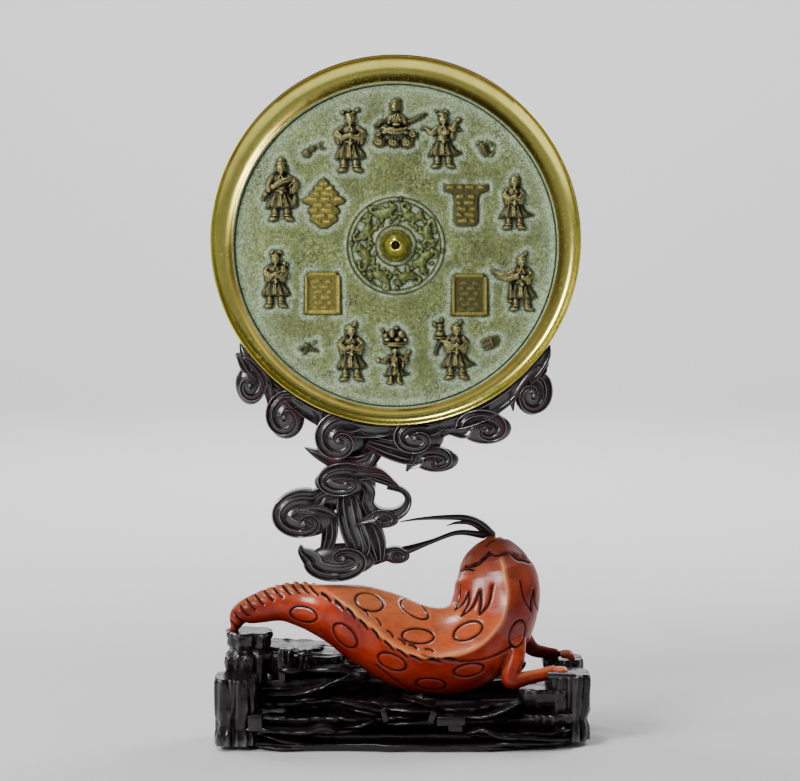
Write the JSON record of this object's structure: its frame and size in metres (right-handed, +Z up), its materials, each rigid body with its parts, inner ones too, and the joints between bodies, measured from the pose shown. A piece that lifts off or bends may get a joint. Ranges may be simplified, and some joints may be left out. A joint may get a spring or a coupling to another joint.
{
  "type": "bronze mirror on stand",
  "caption": "Round cast bronze mirror, relief side forward, resting in a carved wooden cloud cradle that rises from the mouth of a spotted beast on a rock base.",
  "frame": {"origin": "middle of the footprint's bounding box, on the surface that the rock stands on", "axes": "+Z up, -Y towards the mirror's decorated side, +X to the right as seen from there"},
  "size_m": [0.2278, 0.099, 0.4125],
  "materials": {
    "bronze": "cast bronze, polished golden rim and knob, olive patinated field with pale green edges to the relief",
    "dark_wood": "near-black stained hardwood, waxed to a gloss, with a crimson tint in the hollows",
    "red_wood": "orange-red lacquered hardwood, glossy, with darker worn hollows and blackened cuts"
  },
  "bodies": {
    "root": {"mirror": "bronze", "cloud_cradle": "dark_wood", "beast": "red_wood", "rock_base": "dark_wood"}
  },
  "joints": []
}
